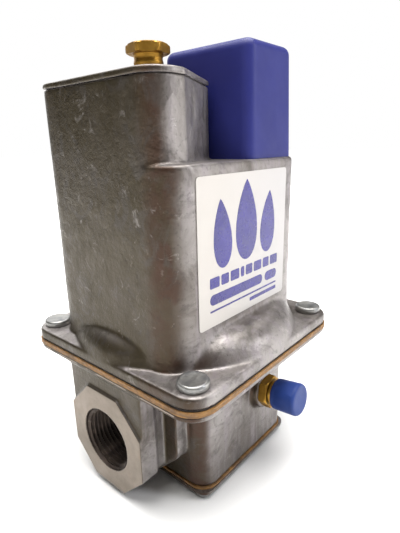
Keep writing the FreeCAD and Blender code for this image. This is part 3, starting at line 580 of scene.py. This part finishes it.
def brass_cap():
    flats = 14.29 * MM
    corner = flats / math.sqrt(3)
    base = HIGH_CAP.z - 3.6 * MM
    top = HIGH_CAP.z
    bottom = LOW_CAP.z
    shelf = HIGH_LID.z + 0.1 * MM
    pitch = 25.4 / 27 * MM
    neck = 5.5 * MM
    turn = math.radians(16.7)
    neck_steps = 110
    stations = [bottom + (base - bottom) * i / neck_steps for i in range(neck_steps + 1)]
    head = [(base, 0.88), (base + 0.2 * MM, 0.95), (base + 0.6 * MM, 1.05), (top - 1.2 * MM, 1.05),
            (top - 0.75 * MM, 0.97), (top - 0.35 * MM, 0.89), (top - 0.1 * MM, 0.82), (top, 0.76)]
    stations += [h for h, _ in head] + [top - 0.02 * MM]

    def radius(angle, height, index):
        if index <= neck_steps and height < shelf:
            phase = (height / pitch - angle / (2 * math.pi)) % 1.0
            ridge = max(0.0, 1.0 - abs(phase - 0.5) * 2.2)
            return neck - 0.55 * MM * (1 - ridge)
        if index <= neck_steps:
            above = (height - shelf) / (base - shelf)
            flare = 0.65 * MM * max(0.0, 1 - above * 2.4) ** 2
            rings = 0.14 * MM * math.cos(above * 3 * 2 * math.pi)
            return neck + flare + rings - 0.1 * MM
        if index == len(stations) - 1:
            return 3.0 * MM
        limit = head[index - neck_steps - 1][1] * corner
        return min(hex_radius(angle, flats, turn), limit)

    place = Matrix.Translation((CAP_CENTRE.x, CAP_CENTRE.y, 0))
    data = polar_mesh("brass_screw_cap", stations, radius, place, 144)
    smooth(data, 28)
    return add_object("brass_screw_cap", data, MATERIALS["brass"], "screw_cap", ["brass_cap"])


brass_cap()


# ---------------------------------------------------------------- pressure tap

TAP_AXIS = Vector(next(j for j in frame["joints"] if j["name"] == "tap_cap_pull")["axis"]).normalized()
TAP_FOOT = Vector((centre_of("tap_nipple").x, TAP_WALL_Y, TAP_HEIGHT))


def tap_place():
    return Matrix.Translation(TAP_FOOT) @ Vector((0, 0, 1)).rotation_difference(TAP_AXIS).to_matrix().to_4x4()


def tap_nipple():
    flats = 12.7 * MM
    corner = flats / math.sqrt(3)
    rows = [(-6.0, 4.15, 0), (3.3, 4.15, 0), (3.3, 0.93, 1), (3.6, 0.99, 1), (4.0, 1.05, 1), (5.8, 1.05, 1),
            (6.3, 0.99, 1), (6.7, 0.93, 1), (7.0, 0.86, 1), (7.0, 4.9, 0), (7.5, 4.7, 0), (8.2, 4.4, 0),
            (16.9, 4.4, 0), (17.5, 3.8, 0)]
    stations = [row[0] * MM for row in rows]

    def radius(angle, height, index):
        _, value, is_hex = rows[index]
        if is_hex:
            return min(hex_radius(angle, flats, 0.2), value * corner)
        return value * MM

    data = polar_mesh("tap_hexagon", stations, radius, tap_place(), 120)
    smooth(data, 28)
    return add_object("tap_hexagon", data, MATERIALS["brass"], "casing", ["tap_nipple"])


def tap_cap():
    profile = [(8.9, 5.9), (8.82, 6.25), (9.0, 6.5), (9.25, 6.58), (10.4, 6.62), (10.55, 6.55), (10.7, 6.63)]
    profile += [(15.0, 6.76), (18.6, 6.83)]
    profile += arc_points(18.6, 6.83, 19.85, 5.9)
    profile += [(19.92, 5.0), (19.8, 4.0), (19.78, 1.0)]
    outer = turned_mesh("cap", [(h * MM, r * MM) for h, r in profile], tap_place(), 72)
    smooth(outer, 50)
    return add_object(
        "tap_push_cap", outer, MATERIALS["cap_plastic"], "tap_cover", ["tap_cap"])


tap_nipple()
tap_cap()


# ---------------------------------------------------------------- label print

def flat_shape(mesh, outline, y_back, y_front):
    """A thin printed shape from (x, z) points in label millimetres."""
    back = [mesh.verts.new((LOW_LABEL.x + x * MM, y_back, LOW_LABEL.z + z * MM)) for x, z in outline]
    front = [mesh.verts.new((LOW_LABEL.x + x * MM, y_front, LOW_LABEL.z + z * MM)) for x, z in outline]
    mesh.faces.new(front)
    for i in range(len(outline)):
        j = (i + 1) % len(outline)
        mesh.faces.new([front[i], back[i], back[j], front[j]])


def bar(x0, x1, z0, z1, r):
    """A bar with rounded ends, as points running anticlockwise seen from the front."""
    points = []
    corners = ((x1 - r, z0 + r, -90), (x1 - r, z1 - r, 0), (x0 + r, z1 - r, 90), (x0 + r, z0 + r, 180))
    for cx, cz, start in corners:
        for k in range(5):
            angle = math.radians(start + 90 * k / 4)
            points.append((cx + r * math.cos(angle), cz + r * math.sin(angle)))
    return points


def flame(cx, z0, width, height, lean):
    """A plain flame outline: round at the foot and pointed at the tip."""
    points = []
    steps = 20
    for i in range(2 * steps):
        t = math.pi * (i / steps) - math.pi / 2
        pinch = 0.5 + 0.5 * math.sin(t)
        half = width / 2 * math.cos(t) * (1 - pinch) ** 0.35
        points.append((cx + half + lean * pinch ** 2, z0 + height * pinch))
    return points


# Flames across the label in its millimetres: middle, width, height and lean
FLAMES = ((14.0, 13.0, 24.84, -1.5), (28.5, 17.0, 30.36, 0.0), (43.0, 13.0, 24.84, 1.5))


def label_print():
    mesh = bmesh.new()
    back = LOW_LABEL.y
    front = back - 0.06 * MM
    for middle, width, height, lean in FLAMES:
        flat_shape(mesh, flame(middle, 21.0, width, height, lean), back, front)
    x = 6.0
    for width in (5.5, 4.5, 5.5, 2.2, 4.5, 5.5, 4.5, 5.5):
        flat_shape(mesh, bar(x, x + width, 14.6, 18.6, 0.6), back, front)
        x += width + 1.1
    flat_shape(mesh, bar(6.0, 40.0, 8.2, 12.2, 1.9), back, front)
    flat_shape(mesh, bar(42.0, 51.0, 8.2, 12.2, 1.9), back, front)
    flat_shape(mesh, bar(6.0, 51.0, 5.6, 6.3, 0.3), back, front)
    flat_shape(mesh, bar(31.0, 51.0, 2.8, 4.3, 0.3), back, front)
    data = bpy.data.meshes.new("label_print")
    mesh.to_mesh(data)
    mesh.free()
    return add_object("label_print", data, INK, "casing")


label_print()


# ---------------------------------------------------------------- stage, light and camera

def staged(name, mesh_data):
    piece = bpy.data.objects.new(name, mesh_data)
    bpy.context.scene.collection.objects.link(piece)
    return piece


def floor():
    """A pale floor that glows more and more away from the object, up to plain white."""
    g = Graph("floor_paint")
    g.set("Base Color", g.mix(g.ramp(g.noise(3.0, 3.0), 0.3, 0.7), (0.86, 0.86, 0.86), (0.88, 0.88, 0.88)))
    g.set("Roughness", 0.8)
    x = g.math("SUBTRACT", g.axis("X"), AXIS_X)
    y = g.axis("Y")
    away = g.math("SQRT", g.math("ADD", g.math("MULTIPLY", x, x), g.math("MULTIPLY", y, y)))
    # the floor glows: its emission rises with distance from the object
    g.set("Emission Color", (1.0, 1.0, 1.0, 1.0))
    g.set("Emission Strength", g.ramp(away, 0.16, 0.55, 0.0, 1.0))
    half = 6.0
    level = cad_box[0][2] - 0.0002
    data = bpy.data.meshes.new("floor")
    corners = [(-half, -half, level), (half, -half, level), (half, half, level), (-half, half, level)]
    data.from_pydata(corners, [], [(0, 1, 2, 3)])
    data.materials.append(g.material)
    staged("floor", data)


def world():
    scene_world = bpy.data.worlds.new("studio")
    bpy.context.scene.world = scene_world
    scene_world.use_nodes = True
    tree = scene_world.node_tree
    tree.nodes.clear()
    seen = tree.nodes.new("ShaderNodeBackground")
    seen.inputs["Color"].default_value = (1.0, 1.0, 1.0, 1.0)
    seen.inputs["Strength"].default_value = 1.0
    ambient = tree.nodes.new("ShaderNodeBackground")
    ambient.inputs["Color"].default_value = (1.0, 0.98, 0.95, 1.0)
    ambient.inputs["Strength"].default_value = 0.10
    path = tree.nodes.new("ShaderNodeLightPath")
    mix = tree.nodes.new("ShaderNodeMixShader")
    output = tree.nodes.new("ShaderNodeOutputWorld")
    tree.links.new(path.outputs["Is Camera Ray"], mix.inputs[0])
    tree.links.new(ambient.outputs[0], mix.inputs[1])
    tree.links.new(seen.outputs[0], mix.inputs[2])
    tree.links.new(mix.outputs[0], output.inputs[0])


def area_light(name, place, size, power, colour):
    light = bpy.data.lights.new(name, "AREA")
    light.shape = "RECTANGLE"
    light.size = size[0]
    light.size_y = size[1]
    light.energy = power
    light.color = colour
    lamp = bpy.data.objects.new(name, light)
    lamp.location = place
    aim = Vector((AXIS_X, 0, 0.06)) - Vector(place)
    lamp.rotation_euler = aim.to_track_quat("-Z", "Y").to_euler()
    bpy.context.scene.collection.objects.link(lamp)


def camera():
    heading = math.radians(49.1076)
    pitch = math.radians(16.6077)
    roll = math.radians(-1.3780)
    focal_px = 413.887
    frame_height_px = 533.0
    sensor = 24.0
    level = math.cos(pitch)
    forward = Vector((math.sin(heading) * level, math.cos(heading) * level, -math.sin(pitch)))
    right = Vector((math.cos(heading), -math.sin(heading), 0))
    up = right.cross(forward)
    right_rolled = right * math.cos(roll) + up * math.sin(roll)
    up_rolled = up * math.cos(roll) - right * math.sin(roll)
    lens = bpy.data.cameras.new("camera")
    lens.sensor_fit = "VERTICAL"
    lens.sensor_height = sensor
    lens.lens = focal_px / frame_height_px * sensor
    lens.clip_start = 0.01
    view = bpy.data.objects.new("camera", lens)
    rotation = Matrix((right_rolled, up_rolled, -forward)).transposed()
    view.matrix_world = Matrix.Translation((AXIS_X - 0.13085, -0.12302, 0.11481)) @ rotation.to_4x4()
    bpy.context.scene.collection.objects.link(view)
    bpy.context.scene.camera = view


floor()
world()
area_light("key", (AXIS_X + 0.55, -1.0, 0.60), (0.18, 0.8), 7.0, (0.95, 0.97, 1.0))
area_light("front", (AXIS_X + 0.9, -0.75, 0.30), (0.7, 0.7), 2.0, (1.0, 0.98, 0.97))
area_light("left", (AXIS_X - 1.0, 0.05, 0.40), (0.7, 0.6), 0.5, (1.0, 0.93, 0.82))
area_light("top", (AXIS_X + 0.05, 0.05, 1.1), (1.2, 1.2), 40.0, (1.0, 0.99, 0.97))
area_light("back", (AXIS_X + 0.3, 0.9, 0.5), (0.8, 0.6), 3.0, (1.0, 1.0, 1.0))
camera()
